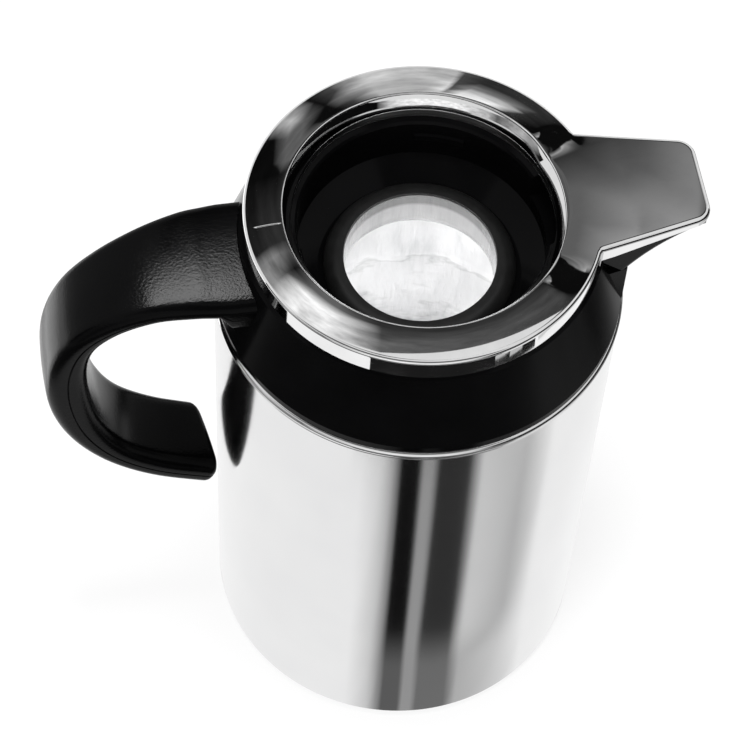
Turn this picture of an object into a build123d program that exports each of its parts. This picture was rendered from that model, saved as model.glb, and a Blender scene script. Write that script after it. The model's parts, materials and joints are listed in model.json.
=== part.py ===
from build123d import *
import os
from math import cos, radians, sin

# Insulated serving jug: a steel casing with a glass vacuum flask inside, a black moulded
# shoulder, funnel and handle, and a chromed top ring that runs out over the spout.
# Millimetres.  +Z is up, +X points to the spout, the handle is on -X, and the origin lies on
# the jug's axis in the plane it stands on.

os.makedirs("parts", exist_ok=True)

# ---------------------------------------------------------------- driving dimensions
# casing
casing_radius = 65.0
casing_height = 185.8
casing_wall = 0.7
casing_edge_radius = 2.0
casing_turn_in = 8.0
bead_height = 3.2
bead_proud = 0.5
bead_land = 1.4
bead_setback = 0.7
foot_drop = 2.0

# shoulder moulding
gasket_thickness = 0.8
shoulder_setback = 0.3
shoulder_wall = 2.5
shoulder_straight = 3.0
shoulder_top_step = 0.8
ledge_height = 28.8
collar_roof_gap = 1.5
collar_wall = 2.0
spigot_depth = 8.0
spigot_wall = 2.0
spigot_slope = 1.0
inner_ledge_width = 6.3
inner_ledge_thickness = 2.2

# top ring and spout cover
ring_radius = 55.9
ring_width = 12.3
ring_wall = 1.5
ring_bead_level = 38.0
ring_crown_level = 39.1
ring_crown_offset = 1.0
ring_inner_level = 39.3
ring_bevel_width = 2.6
ring_bevel_depth = 4.4
ring_bore_length = 2.2
ring_edge_radius = 0.8
ring_seal_thickness = 1.0
spout_reach = 88.0
spout_root_half_width = 22.4
spout_tip_half_width = 14.8
spout_corner_radius = 6.0
spout_cover_thickness = 1.5
spout_skirt_root = 6.8
spout_skirt_tip = 3.4
spout_cover_overlap = 3.9

# spout trough, as the underside's height below the cover's top at three places
trough_root_setback = 3.2
trough_root_drop = 19.5
trough_mid_run = 10.5
trough_mid_drop = 11.6
trough_tip_drop = 7.4
trough_floor = 1.6
trough_side_wall = 1.8
trough_edge_radius = 3.0

# funnel
funnel_wall = 2.2
funnel_land = 1.2
funnel_lip_slope = 0.6
funnel_lip_drop = 1.0
funnel_floor_outer = 14.0
funnel_floor_inner = 8.6
chute_half_width = 13.0
chute_wall = 1.8
chute_tongue = 1.5
chute_mouth_reach = 30.4
stopper_lug_count = 3
stopper_lug_angle = 24.0
stopper_lug_start = 60.0
stopper_lug_depth = 1.2
stopper_lug_height = 2.4
stopper_lug_level = 23.0

# flask
flask_mouth_radius = 24.1
flask_mouth_level = 11.2
flask_wall = 1.3
neck_gap = 1.7
neck_depth = 11.0
neck_fillet = 9.0
flask_casing_gap = 5.0
flask_body_gap = 4.0
flask_bottom_level = 17.0
flask_dome_height = 38.0
quarter_turn = 90.0
tip_radius = 4.0
tip_length = 6.0
tip_taper = 20.0
spacer_height = 8.0
spacer_level = 70.0
spacer_angle = 14.0
spacer_count = 3
band_height = 20.0
band_level = 80.0

# neck gasket
gasket_mouth_setback = 0.2
gasket_lip_cover = 1.2
gasket_skirt = 2.2
gasket_depth = 9.0

# base
base_ring_flange = 3.6
base_ring_thickness = 2.4
base_ring_lift = 0.6
base_ring_wall = 6.9
cap_ledge_width = 4.0
cap_ledge_thickness = 2.5
cap_ledge_level = 5.2
lug_count = 3
lug_angle = 26.0
gap_angle = 34.0
lug_thickness = 2.0
lug_reach = 2.9
cap_turn = 60.0
cap_lift = 1.2
cap_plate_thickness = 3.0
cap_skirt_wall = 2.6
grip_bar_width = 9.0
grip_recess_radius = 26.0
grip_recess_depth = 1.6
foot_width = 3.2
foot_groove_depth = 1.2
cushion_height = 18.0

# handle
handle_block_half_width = 21.0
handle_block_top = 25.8
handle_block_knee_setback = 3.2
handle_block_low = 12.6
handle_edge_share = 0.36
strip_width = 13.0
strip_thickness = 2.4
strip_ends = (1, 8)
handle_hollow_wall = 2.4
handle_hollow_ends = (4, 8)

# the handle's centre line from the root to the free end: distance out from the casing's side,
# height above the casing's rim, heading in the XZ plane, width and thickness
handle_stations = (
    (1.0, 22.5, 180.0, 40.6, 8.0),
    (9.5, 22.3, 186.0, 38.6, 8.0),
    (21.5, 19.4, 202.0, 34.6, 8.3),
    (34.2, 12.2, 220.0, 31.2, 9.2),
    (43.7, 1.8, 240.0, 29.2, 10.9),
    (48.5, -13.0, 261.0, 28.2, 13.4),
    (49.0, -31.0, 274.0, 28.0, 14.8),
    (45.2, -48.8, 292.0, 28.0, 13.7),
    (36.5, -64.9, 311.0, 28.0, 12.0),
    (22.9, -77.2, 326.0, 28.0, 12.0),
    (5.4, -86.2, 337.0, 27.5, 12.4),
)

# fasteners
screw_radius = 1.3
screw_head_radius = 2.5
screw_head_height = 1.7
ring_screw_angles = (62.0, 150.0, 210.0, 298.0)
ring_screw_length = 10.0
ring_boss_radius = 2.7
handle_screw_spread = 13.5
handle_screw_level = 23.9
handle_screw_cover = 1.5
handle_boss_radius = 3.8
handle_boss_setback = 6.2

# clearances
seat_clearance = 0.1
fit_clearance = 0.3
cap_clearance = 0.3
screw_clearance = 0.05
trim_margin = 1.0

# ---------------------------------------------------------------- shared places
casing_bottom = foot_drop
rim = casing_bottom + casing_height
casing_bore = casing_radius - casing_wall
base_opening_radius = casing_radius - casing_turn_in
bead_outer = casing_radius - bead_setback
bead_inner = bead_outer - bead_land
shoulder_radius = casing_radius - shoulder_setback
shoulder_bottom = rim + gasket_thickness
shoulder_bend = rim + shoulder_straight
shoulder_top_radius = ring_radius + shoulder_top_step
ring_lip_radius = ring_radius - ring_width
ring_bore_radius = ring_lip_radius - ring_bevel_width
ledge = rim + ledge_height
spigot_radius = bead_inner - seat_clearance
collar_outer = ring_radius - ring_wall - seat_clearance
collar_inner = collar_outer - collar_wall
inner_ledge_radius = collar_inner - inner_ledge_width
inner_ledge_top = ledge - seat_clearance
inner_ledge_bottom = inner_ledge_top - inner_ledge_thickness
cover_top = rim + ring_bead_level
cover_bottom = cover_top - spout_cover_thickness
collar_top = cover_bottom - collar_roof_gap
ring_lip_level = rim + ring_inner_level - ring_edge_radius
ring_bevel_bottom = ring_lip_level - ring_bevel_depth
ring_bore_bottom = ring_bevel_bottom - ring_bore_length
funnel_flange_top = ring_bore_bottom - ring_seal_thickness
funnel_lip_radius = ring_bore_radius - funnel_land
funnel_bore_radius = funnel_lip_radius - funnel_lip_slope
spout_skirt_start = ring_radius - spout_cover_overlap
trough_root_reach = shoulder_radius - trough_root_setback
trough_mid_reach = trough_root_reach + trough_mid_run
chute_reach = trough_root_reach + chute_tongue
flask_body_radius = casing_bore - flask_casing_gap
neck_outer = flask_mouth_radius + 2 * flask_wall + neck_gap
mouth = rim + flask_mouth_level
ring_screw_radius = (ring_lip_radius + ring_wall + collar_inner) / 2
handle_boss_face = shoulder_top_radius - handle_boss_setback
handle_block_reach = casing_radius + handle_stations[0][0]
handle_screw_length = handle_block_reach - handle_screw_cover - handle_boss_face
handle_screw_places = Locations(
    (-handle_screw_spread, rim + handle_screw_level),
    (handle_screw_spread, rim + handle_screw_level),
)
gasket_outer = neck_outer + gasket_skirt
gasket_bore_radius = flask_mouth_radius + gasket_mouth_setback


def meridian(angle):
    """The upright plane through the axis at an angle from +X."""
    return Plane.XZ.rotated((0, 0, angle))


def spaced(count, start=0.0):
    """Angles of features spread evenly round the axis."""
    return [start + i * 360.0 / count for i in range(count)]


def cone_radius(height):
    """The shoulder cone's outer radius at a height."""
    share = (height - shoulder_bend) / (ledge - shoulder_bend)
    return shoulder_radius + share * (shoulder_top_radius - shoulder_radius)


def cover_half_width(reach):
    """Half the spout cover's width at a distance from the jug's axis."""
    share = (reach - spout_skirt_start) / (spout_reach - spout_skirt_start)
    return spout_root_half_width + share * (spout_tip_half_width - spout_root_half_width)


def trapezoid(start, end, inset):
    """Corners of the spout's plan between two reaches, drawn in by an inset on each side."""
    near = cover_half_width(start) - inset
    far = cover_half_width(end) - inset
    return [(start, -near), (end, -far), (end, far), (start, near)]


# ---------------------------------------------------------------- casing
with BuildPart() as outer_casing:
    with BuildSketch(Plane.XZ):
        with BuildLine():
            turn_in = Line(
                (base_opening_radius, casing_bottom),
                (casing_radius - casing_edge_radius, casing_bottom),
            )
            corner = TangentArc(
                turn_in @ 1,
                (casing_radius, casing_bottom + casing_edge_radius),
                tangent=(1, 0),
            )
            side = Line(corner @ 1, (casing_radius, rim - bead_height))
            bead = ThreePointArc(
                side @ 1,
                (casing_radius + bead_proud, rim - bead_height / 2),
                (bead_outer, rim),
            )
            inside = Polyline(
                bead @ 1,
                (bead_inner, rim),
                (bead_inner, rim - bead_height),
                (casing_bore, rim - bead_height - casing_wall),
                (casing_bore, casing_bottom + casing_edge_radius),
            )
            inner_corner = TangentArc(
                inside @ 1,
                (casing_radius - casing_edge_radius, casing_bottom + casing_wall),
                tangent=(0, -1),
            )
            Polyline(
                inner_corner @ 1,
                (base_opening_radius, casing_bottom + casing_wall),
                turn_in @ 0,
            )
        make_face()
    revolve(axis=Axis.Z)

with BuildPart() as rim_gasket:
    with BuildSketch(Plane.XY.offset(rim)):
        Circle(bead_outer)
        Circle(spigot_radius, mode=Mode.SUBTRACT)
    extrude(amount=gasket_thickness)

# ---------------------------------------------------------------- top ring and spout cover
ring_screw_places = [
    Location((ring_screw_radius * cos(radians(a)), ring_screw_radius * sin(radians(a)), 0))
    for a in ring_screw_angles
]

with BuildPart() as top_ring:
    # ring: a channel section, open below, with a crowned top and a bevel down to its bore
    with BuildSketch(Plane.XZ):
        with BuildLine():
            skirt = Line((ring_radius, ledge), (ring_radius, cover_top - ring_edge_radius))
            shoulder_edge = TangentArc(
                skirt @ 1,
                (ring_radius - ring_edge_radius, cover_top + ring_edge_radius / 2),
                tangent=(0, 1),
            )
            crown = ThreePointArc(
                shoulder_edge @ 1,
                ((ring_radius + ring_lip_radius) / 2 + ring_crown_offset, rim + ring_crown_level),
                (ring_lip_radius + ring_edge_radius, rim + ring_inner_level),
            )
            lip = Line(crown @ 1, (ring_lip_radius, ring_lip_level))
            Polyline(
                lip @ 1,
                (ring_bore_radius, ring_bevel_bottom),
                (ring_bore_radius, ring_bore_bottom),
                (ring_bore_radius + ring_wall, ring_bore_bottom),
                (ring_bore_radius + ring_wall, ring_bevel_bottom),
                (ring_lip_radius + ring_wall, cover_bottom),
                (ring_radius - ring_wall, cover_bottom),
                (ring_radius - ring_wall, ledge),
                skirt @ 0,
            )
        make_face()
    revolve(axis=Axis.Z)
    # screw bosses under the crown
    with BuildSketch(Plane.XY.offset(funnel_flange_top)):
        with Locations(*ring_screw_places):
            Circle(ring_boss_radius)
    extrude(until=Until.NEXT)
    # spout cover: a tapering plate with a skirt whose lower edge rises to the tip
    with BuildSketch(Plane.XY.offset(cover_top - spout_skirt_root)) as cover_plan:
        with BuildLine():
            Polyline(*trapezoid(spout_skirt_start, spout_reach, 0), close=True)
        make_face()
        fillet(
            cover_plan.vertices().group_by(Axis.X)[-1],
            radius=spout_corner_radius,
        )
    extrude(amount=spout_skirt_root)
    # passage under the cover, open at the tip and through the ring's skirt
    with BuildSketch(Plane.XY.offset(ledge)):
        with BuildLine():
            Polyline(
                *trapezoid(ring_radius - 3 * ring_wall, spout_reach + ring_wall, ring_wall),
                close=True,
            )
        make_face()
    extrude(amount=cover_bottom - ledge, mode=Mode.SUBTRACT)
    # lower edge of the skirt
    with BuildSketch(Plane.XZ):
        with BuildLine():
            Polyline(
                (ring_radius, cover_top - spout_skirt_root),
                (spout_reach + trim_margin, cover_top - spout_skirt_tip),
                (spout_reach + trim_margin, cover_top - spout_skirt_root - trim_margin),
                (ring_radius, cover_top - spout_skirt_root - trim_margin),
                close=True,
            )
        make_face()
    extrude(amount=casing_radius, both=True, mode=Mode.SUBTRACT)
    # screw pilot holes
    with BuildSketch(Plane.XY.offset(funnel_flange_top)):
        with Locations(*ring_screw_places):
            Circle(screw_radius + screw_clearance)
    extrude(amount=cover_bottom - funnel_flange_top, mode=Mode.SUBTRACT)


with BuildPart() as ring_seal:
    with BuildSketch(Plane.XY.offset(funnel_flange_top)):
        Circle(ring_bore_radius + ring_wall - seat_clearance)
        Circle(ring_bore_radius + seat_clearance, mode=Mode.SUBTRACT)
    extrude(amount=ring_bore_bottom - funnel_flange_top)

# ---------------------------------------------------------------- spout trough
trough_inset = ring_wall + seat_clearance
trough_end = spout_reach - ring_wall
trough_root = (trough_root_reach, cover_top - trough_root_drop)
trough_mid = (trough_mid_reach, cover_top - trough_mid_drop)
trough_tip = (trough_end, cover_top - trough_tip_drop)

# outside of the trough: a keel below the cover, rooted in the shoulder's collar
with BuildPart() as trough_body:
    with BuildSketch(Plane.XZ):
        with BuildLine():
            underside = ThreePointArc(trough_root, trough_mid, trough_tip)
            Polyline(
                underside @ 1,
                (trough_end, cover_bottom - seat_clearance),
                (collar_inner, cover_bottom - seat_clearance),
                (collar_inner, ledge),
                underside @ 0,
            )
        make_face()
    extrude(amount=casing_radius, both=True)
    with BuildSketch(Plane.XY.offset(rim)):
        with BuildLine():
            Polyline(*trapezoid(collar_inner, trough_end, trough_inset), close=True)
        make_face()
    extrude(amount=2 * ring_bead_level, mode=Mode.INTERSECT)
    keel = trough_body.faces().filter_by(GeomType.CYLINDER)[0]
    fillet(keel.edges().filter_by(GeomType.LINE, reverse=True), radius=trough_edge_radius)


# hollow of the trough: a channel above a floor that follows the underside
hollow_inset = trough_inset + trough_side_wall
with BuildPart() as trough_hollow:
    with BuildSketch(Plane.XZ):
        with BuildLine():
            bed = ThreePointArc(
                (trough_root_reach, trough_root[1] + trough_floor),
                (trough_mid_reach, trough_mid[1] + trough_floor),
                (spout_reach, trough_tip[1] + trough_floor),
            )
            Polyline(
                bed @ 1,
                (spout_reach, cover_top),
                (trough_root_reach, cover_top),
                bed @ 0,
            )
        make_face()
    extrude(amount=casing_radius, both=True)
    with BuildSketch(Plane.XY.offset(rim)):
        with BuildLine():
            Polyline(*trapezoid(trough_root_reach, spout_reach, hollow_inset), close=True)
        make_face()
    extrude(amount=2 * ring_bead_level, mode=Mode.INTERSECT)

# ---------------------------------------------------------------- shoulder
chute_floor = trough_root[1] + trough_floor
chute_outer_half = chute_half_width + chute_wall
chute_bottom = chute_floor - chute_wall

# the wall under the spout stands upright on the rim, in front of the cone
with BuildPart() as spout_root:
    with BuildSketch(Plane.XY.offset(shoulder_bottom)):
        Circle(shoulder_radius)
        Circle(cone_radius(cover_bottom) - shoulder_wall / 2, mode=Mode.SUBTRACT)
        with BuildLine():
            Polyline(
                *trapezoid(inner_ledge_radius, casing_radius, trough_inset), close=True
            )
        make_face(mode=Mode.INTERSECT)
    extrude(amount=trough_root[1] - shoulder_bottom + trough_floor)

with BuildPart() as spout_root_hollow:
    with BuildSketch(Plane.XY.offset(shoulder_bottom + shoulder_wall)):
        Circle(shoulder_radius - shoulder_wall)
        Circle(inner_ledge_radius, mode=Mode.SUBTRACT)
        with BuildLine():
            Polyline(
                *trapezoid(inner_ledge_radius, casing_radius, trough_inset + shoulder_wall),
                close=True,
            )
        make_face(mode=Mode.INTERSECT)
    extrude(amount=chute_bottom - shoulder_bottom - 2 * shoulder_wall)

# bosses inside the wall that take the handle screws
with BuildPart() as handle_bosses:
    with BuildSketch(Plane.YZ.offset(-handle_boss_face)):
        with handle_screw_places:
            Circle(handle_boss_radius)
    extrude(amount=-handle_screw_length)
    with BuildSketch(Plane.XZ):
        with BuildLine():
            Polyline(
                (0, shoulder_bend),
                (shoulder_radius, shoulder_bend),
                (shoulder_top_radius, ledge),
                (0, ledge),
                close=True,
            )
        make_face()
    revolve(axis=Axis.Z, mode=Mode.INTERSECT)

with BuildPart() as shoulder:
    with BuildSketch(Plane.XZ):
        with BuildLine():
            outside = Line((shoulder_radius, shoulder_bottom), (shoulder_radius, shoulder_bend))
            Polyline(
                outside @ 1,
                (shoulder_top_radius, ledge),
                (collar_outer, ledge),
                (collar_outer, collar_top),
                (collar_inner, collar_top),
                (collar_inner, inner_ledge_top),
                (inner_ledge_radius, inner_ledge_top),
                (inner_ledge_radius, inner_ledge_bottom),
                (cone_radius(inner_ledge_bottom) - shoulder_wall, inner_ledge_bottom),
                (shoulder_radius - shoulder_wall, shoulder_bend),
                (shoulder_radius - shoulder_wall, shoulder_bottom),
                (spigot_radius - spigot_wall, shoulder_bottom - spigot_slope),
                (spigot_radius - spigot_wall, shoulder_bottom - spigot_depth),
                (spigot_radius, shoulder_bottom - spigot_depth),
                (spigot_radius, shoulder_bottom),
                outside @ 0,
            )
        make_face()
    revolve(axis=Axis.Z)
    add(handle_bosses)
    add(spout_root)
    add(trough_body)
    add(spout_root_hollow, mode=Mode.SUBTRACT)
    add(trough_hollow, mode=Mode.SUBTRACT)
    # the funnel's chute passes through the wall here
    with BuildSketch(Plane.YZ.offset(funnel_bore_radius)):
        with Locations((0, (chute_bottom + collar_top) / 2)):
            Rectangle(
                2 * (chute_outer_half + seat_clearance),
                collar_top - chute_bottom + 2 * seat_clearance,
            )
    extrude(amount=chute_reach + seat_clearance - funnel_bore_radius, mode=Mode.SUBTRACT)
    # holes for the ring screws and the handle screws
    with BuildSketch(Plane.XY.offset(inner_ledge_bottom)):
        with Locations(*ring_screw_places):
            Circle(screw_radius + screw_clearance)
    extrude(amount=inner_ledge_thickness, mode=Mode.SUBTRACT)
    with BuildSketch(Plane.YZ.offset(-handle_boss_face)):
        with handle_screw_places:
            Circle(screw_radius + screw_clearance)
    extrude(amount=-handle_screw_length, mode=Mode.SUBTRACT)

# ---------------------------------------------------------------- funnel
funnel_skirt_inner = gasket_outer + seat_clearance
funnel_skirt_outer = funnel_skirt_inner + funnel_wall
funnel_outer = funnel_bore_radius + funnel_wall
floor_outer = rim + funnel_floor_outer
floor_inner = rim + funnel_floor_inner

with BuildPart() as funnel:
    with BuildSketch(Plane.XZ):
        with BuildLine():
            Polyline(
                (collar_inner - seat_clearance, funnel_flange_top),
                (ring_bore_radius, funnel_flange_top),
                (funnel_lip_radius, funnel_flange_top - funnel_lip_drop),
                (funnel_bore_radius, funnel_flange_top - 2 * funnel_lip_drop),
                (funnel_bore_radius, floor_outer),
                (funnel_skirt_inner, floor_inner),
                (funnel_skirt_inner, floor_inner - gasket_depth),
                (funnel_skirt_outer, floor_inner - gasket_depth),
                (funnel_skirt_outer, floor_inner - funnel_wall),
                (funnel_outer, floor_outer - funnel_wall),
                (funnel_outer, inner_ledge_top),
                (collar_inner - seat_clearance, inner_ledge_top),
                close=True,
            )
        make_face()
    revolve(axis=Axis.Z)
    # chute: a three-sided channel that leads to the trough
    with BuildSketch(Plane.YZ.offset(funnel_bore_radius)):
        with Locations((0, (chute_bottom + inner_ledge_top) / 2)):
            Rectangle(2 * chute_outer_half, inner_ledge_top - chute_bottom)
    extrude(amount=chute_reach - funnel_bore_radius)
    with BuildSketch(Plane.YZ.offset(chute_mouth_reach)):
        with Locations((0, (chute_floor + collar_top) / 2)):
            Rectangle(2 * chute_half_width, collar_top - chute_floor)
    extrude(amount=chute_reach + trim_margin - chute_mouth_reach, mode=Mode.SUBTRACT)
    # lugs that catch the stopper
    for angle in spaced(stopper_lug_count, stopper_lug_start):
        with BuildSketch(meridian(angle)):
            with Locations((funnel_bore_radius, rim + stopper_lug_level)):
                Rectangle(2 * stopper_lug_depth, stopper_lug_height)
        revolve(axis=Axis.Z, revolution_arc=stopper_lug_angle)
    # screw holes
    with BuildSketch(Plane.XY.offset(inner_ledge_top)):
        with Locations(*ring_screw_places):
            Circle(screw_radius + screw_clearance)
    extrude(amount=funnel_flange_top - inner_ledge_top, mode=Mode.SUBTRACT)

with BuildPart() as ring_screws:
    with BuildSketch(Plane.XY.offset(inner_ledge_bottom - screw_head_height)):
        with Locations(*ring_screw_places):
            Circle(screw_head_radius)
    extrude(amount=screw_head_height)
    with BuildSketch(Plane.XY.offset(inner_ledge_bottom)):
        with Locations(*ring_screw_places):
            Circle(screw_radius)
    extrude(amount=ring_screw_length)

# ---------------------------------------------------------------- vacuum flask
def flask_meridian(neck_radius, body_radius, top, bottom, dome):
    """Draw one face of a flask wall, from its mouth down to the axis."""
    neck_bottom = mouth - neck_depth
    flare = body_radius - neck_radius
    neck = Line((neck_radius, top), (neck_radius, neck_bottom))
    waist = TangentArc(
        neck @ 1,
        (neck_radius + neck_fillet, neck_bottom - neck_fillet),
        tangent=(0, -1),
    )
    crown = TangentArc(waist @ 1, (body_radius, neck_bottom - flare), tangent=(1, 0))
    side = Line(crown @ 1, (body_radius, bottom + dome))
    EllipticalCenterArc(
        (0, bottom + dome),
        body_radius,
        dome,
        start_angle=3 * quarter_turn,
        arc_size=quarter_turn,
    )
    return neck @ 0


flask_outer_bore = flask_body_radius - flask_wall
flask_inner_outside = flask_outer_bore - flask_body_gap
flask_inner_bore = flask_inner_outside - flask_wall
outer_floor = flask_bottom_level + flask_wall
inner_underside = outer_floor + flask_body_gap
inner_floor = inner_underside + flask_wall
lip_bottom = mouth - flask_wall

with BuildPart() as flask_outer_wall:
    with BuildSketch(Plane.XZ):
        with BuildLine():
            start = flask_meridian(
                neck_outer, flask_body_radius, lip_bottom, flask_bottom_level, flask_dome_height
            )
            Polyline((0, flask_bottom_level), (0, lip_bottom), start)
        make_face()
    revolve(axis=Axis.Z)
    with BuildSketch(Plane.XZ):
        with BuildLine():
            start = flask_meridian(
                neck_outer - flask_wall,
                flask_outer_bore,
                lip_bottom,
                outer_floor,
                flask_dome_height,
            )
            Polyline((0, outer_floor), (0, lip_bottom), start)
        make_face()
    revolve(axis=Axis.Z, mode=Mode.SUBTRACT)
    # sealed tip where the flask was pumped out
    with BuildSketch(Plane.XY.offset(outer_floor - flask_wall / 2)):
        Circle(tip_radius)
    extrude(amount=-tip_length, taper=tip_taper)

with BuildPart() as flask_inner_wall:
    with BuildSketch(Plane.XZ):
        with BuildLine():
            start = flask_meridian(
                flask_mouth_radius + flask_wall,
                flask_inner_outside,
                mouth,
                inner_underside,
                flask_dome_height,
            )
            Polyline((0, inner_underside), (0, mouth), start)
        make_face()
    revolve(axis=Axis.Z)
    # lip that closes the space between the walls
    with BuildSketch(Plane.XY.offset(lip_bottom)):
        Circle(neck_outer)
    extrude(amount=flask_wall)
    with BuildSketch(Plane.XZ):
        with BuildLine():
            start = flask_meridian(
                flask_mouth_radius, flask_inner_bore, mouth, inner_floor, flask_dome_height
            )
            Polyline((0, inner_floor), (0, mouth), start)
        make_face()
    revolve(axis=Axis.Z, mode=Mode.SUBTRACT)

with BuildPart() as flask_spacers:
    for angle in spaced(spacer_count):
        with BuildSketch(meridian(angle)):
            with Locations((flask_inner_outside + flask_body_gap / 2, spacer_level)):
                Rectangle(flask_body_gap - seat_clearance, spacer_height)
        revolve(axis=Axis.Z, revolution_arc=spacer_angle)

with BuildPart() as centring_band:
    with BuildSketch(Plane.XY.offset(band_level)):
        Circle(casing_bore - seat_clearance / 2)
        Circle(flask_body_radius + seat_clearance / 2, mode=Mode.SUBTRACT)
    extrude(amount=band_height)

with BuildPart() as neck_gasket:
    with BuildSketch(Plane.XZ):
        with BuildLine():
            mouth_side = Line(
                (gasket_bore_radius, mouth + seat_clearance / 2),
                (gasket_bore_radius, mouth + gasket_lip_cover),
            )
            land = Line(
                mouth_side @ 1,
                (gasket_bore_radius + gasket_lip_cover, mouth + gasket_lip_cover),
            )
            roll = TangentArc(land @ 1, (gasket_outer, floor_inner), tangent=(1, 0))
            Polyline(
                roll @ 1,
                (gasket_outer, mouth - gasket_depth),
                (neck_outer + seat_clearance / 2, mouth - gasket_depth),
                (neck_outer + seat_clearance / 2, mouth + seat_clearance / 2),
                mouth_side @ 0,
            )
        make_face()
    revolve(axis=Axis.Z)

# ---------------------------------------------------------------- base
base_tube_radius = base_opening_radius - seat_clearance
base_flange_radius = base_tube_radius + base_ring_flange
cap_bore_radius = base_tube_radius - base_ring_wall
cap_ledge_radius = cap_bore_radius - cap_ledge_width
base_flange_bottom = casing_bottom + casing_wall
ledge_top = cap_ledge_level + cap_ledge_thickness
cap_skirt_outer = cap_ledge_radius - cap_clearance
cap_skirt_inner = cap_skirt_outer - cap_skirt_wall
cap_plate_top = cap_lift + cap_plate_thickness
lug_bottom = ledge_top + cap_clearance
lug_radius = cap_skirt_outer + lug_reach
foot_middle = (cap_bore_radius + base_tube_radius) / 2

with BuildPart() as base_ring:
    with BuildSketch(Plane.XY.offset(base_ring_lift)):
        Circle(base_tube_radius)
        Circle(cap_bore_radius, mode=Mode.SUBTRACT)
    extrude(amount=ledge_top - base_ring_lift)
    with BuildSketch(Plane.XY.offset(base_flange_bottom)):
        Circle(base_flange_radius)
        Circle(cap_bore_radius, mode=Mode.SUBTRACT)
    extrude(amount=base_ring_thickness)
    # bayonet ledge with a gap for each lug of the cap
    with BuildSketch(Plane.XY.offset(cap_ledge_level)):
        Circle(cap_bore_radius + seat_clearance)
        Circle(cap_ledge_radius, mode=Mode.SUBTRACT)
    extrude(amount=cap_ledge_thickness)
    for angle in spaced(lug_count, cap_turn - gap_angle / 2):
        with BuildSketch(meridian(angle)):
            with Locations((0, (cap_ledge_level + ledge_top) / 2)):
                Rectangle(
                    lug_radius + cap_clearance,
                    2 * cap_ledge_thickness,
                    align=(Align.MIN, Align.CENTER),
                )
        revolve(axis=Axis.Z, revolution_arc=gap_angle, mode=Mode.SUBTRACT)
    # groove for the foot
    with BuildSketch(Plane.XY.offset(base_ring_lift)):
        Circle(foot_middle + foot_width / 2)
        Circle(foot_middle - foot_width / 2, mode=Mode.SUBTRACT)
    extrude(amount=foot_groove_depth, mode=Mode.SUBTRACT)

with BuildPart() as foot_ring:
    with BuildSketch():
        Circle(foot_middle + foot_width / 2 - seat_clearance / 2)
        Circle(foot_middle - foot_width / 2 + seat_clearance / 2, mode=Mode.SUBTRACT)
    extrude(amount=base_ring_lift + foot_groove_depth)

with BuildPart() as base_cap:
    with BuildSketch(Plane.XY.offset(cap_lift)):
        Circle(cap_bore_radius - cap_clearance)
    extrude(amount=cap_plate_thickness)
    with BuildSketch(Plane.XY.offset(cap_plate_top)):
        Circle(cap_skirt_outer)
        Circle(cap_skirt_inner, mode=Mode.SUBTRACT)
    extrude(amount=lug_bottom + lug_thickness - cap_plate_top)
    for angle in spaced(lug_count, -lug_angle / 2):
        with BuildSketch(meridian(angle)):
            with Locations((cap_skirt_inner + cap_skirt_wall / 2, lug_bottom)):
                Rectangle(
                    lug_radius - cap_skirt_inner - cap_skirt_wall / 2,
                    lug_thickness,
                    align=(Align.MIN, Align.MIN),
                )
        revolve(axis=Axis.Z, revolution_arc=lug_angle)
    # finger recess with a bar across it
    with BuildSketch(Plane.XY.offset(cap_lift)):
        Circle(grip_recess_radius)
        Rectangle(2 * grip_recess_radius, grip_bar_width, mode=Mode.SUBTRACT)
    extrude(amount=grip_recess_depth, mode=Mode.SUBTRACT)

with BuildPart() as base_cap_seal:
    with BuildSketch(Plane.XY.offset(cap_plate_top)):
        Circle(cap_bore_radius - 2 * cap_clearance)
        Circle(cap_skirt_outer + seat_clearance, mode=Mode.SUBTRACT)
    extrude(amount=cap_ledge_level - cap_plate_top - seat_clearance)

with BuildPart() as flask_cushion:
    with BuildSketch(Plane.XY.offset(cap_plate_top)):
        Circle(cap_skirt_inner - fit_clearance)
    extrude(amount=cushion_height)
    with BuildSketch(Plane.XZ):
        with BuildLine():
            start = flask_meridian(
                neck_outer,
                flask_body_radius + seat_clearance / 2,
                lip_bottom,
                flask_bottom_level - seat_clearance / 2,
                flask_dome_height,
            )
            Polyline((0, flask_bottom_level - seat_clearance / 2), (0, lip_bottom), start)
        make_face()
    revolve(axis=Axis.Z, mode=Mode.SUBTRACT)
    with BuildSketch(Plane.XY.offset(cap_plate_top)):
        Circle(2 * tip_radius)
    extrude(amount=cushion_height, mode=Mode.SUBTRACT)

# ---------------------------------------------------------------- handle
def station_plane(station):
    """The section plane at one place on the handle's centre line."""
    outward, height, heading = station[:3]
    along = (cos(radians(heading)), 0, sin(radians(heading)))
    return Plane(origin=(-casing_radius - outward, 0, rim + height), x_dir=(0, 1, 0), z_dir=along)


def half_section(station, side):
    """A rounded section cut along the centre line: side is MAX for the outer half."""
    width, thickness = station[3:]
    with BuildSketch(station_plane(station)) as section:
        RectangleRounded(width, thickness, handle_edge_share * thickness)
        keep = Align.MIN if side == Align.MAX else Align.MAX
        Rectangle(2 * width, 2 * thickness, align=(Align.CENTER, keep), mode=Mode.SUBTRACT)
    return section.sketch


def plain_section(station, width, thickness):
    """A rectangular section at one place on the handle's centre line."""
    with BuildSketch(station_plane(station)) as section:
        Rectangle(width, thickness)
    return section.sketch


# everything that the handle's root wraps round
with BuildPart() as root_clearance:
    with BuildSketch(Plane.XZ):
        with BuildLine():
            Polyline(
                (0, rim),
                (shoulder_radius + seat_clearance, rim),
                (shoulder_radius + seat_clearance, shoulder_bend),
                (shoulder_top_radius + seat_clearance, ledge),
                (ring_radius + seat_clearance, ledge),
                (ring_radius + seat_clearance, cover_top + spout_skirt_root),
                (0, cover_top + spout_skirt_root),
                close=True,
            )
        make_face()
    revolve(axis=Axis.Z)

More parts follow.
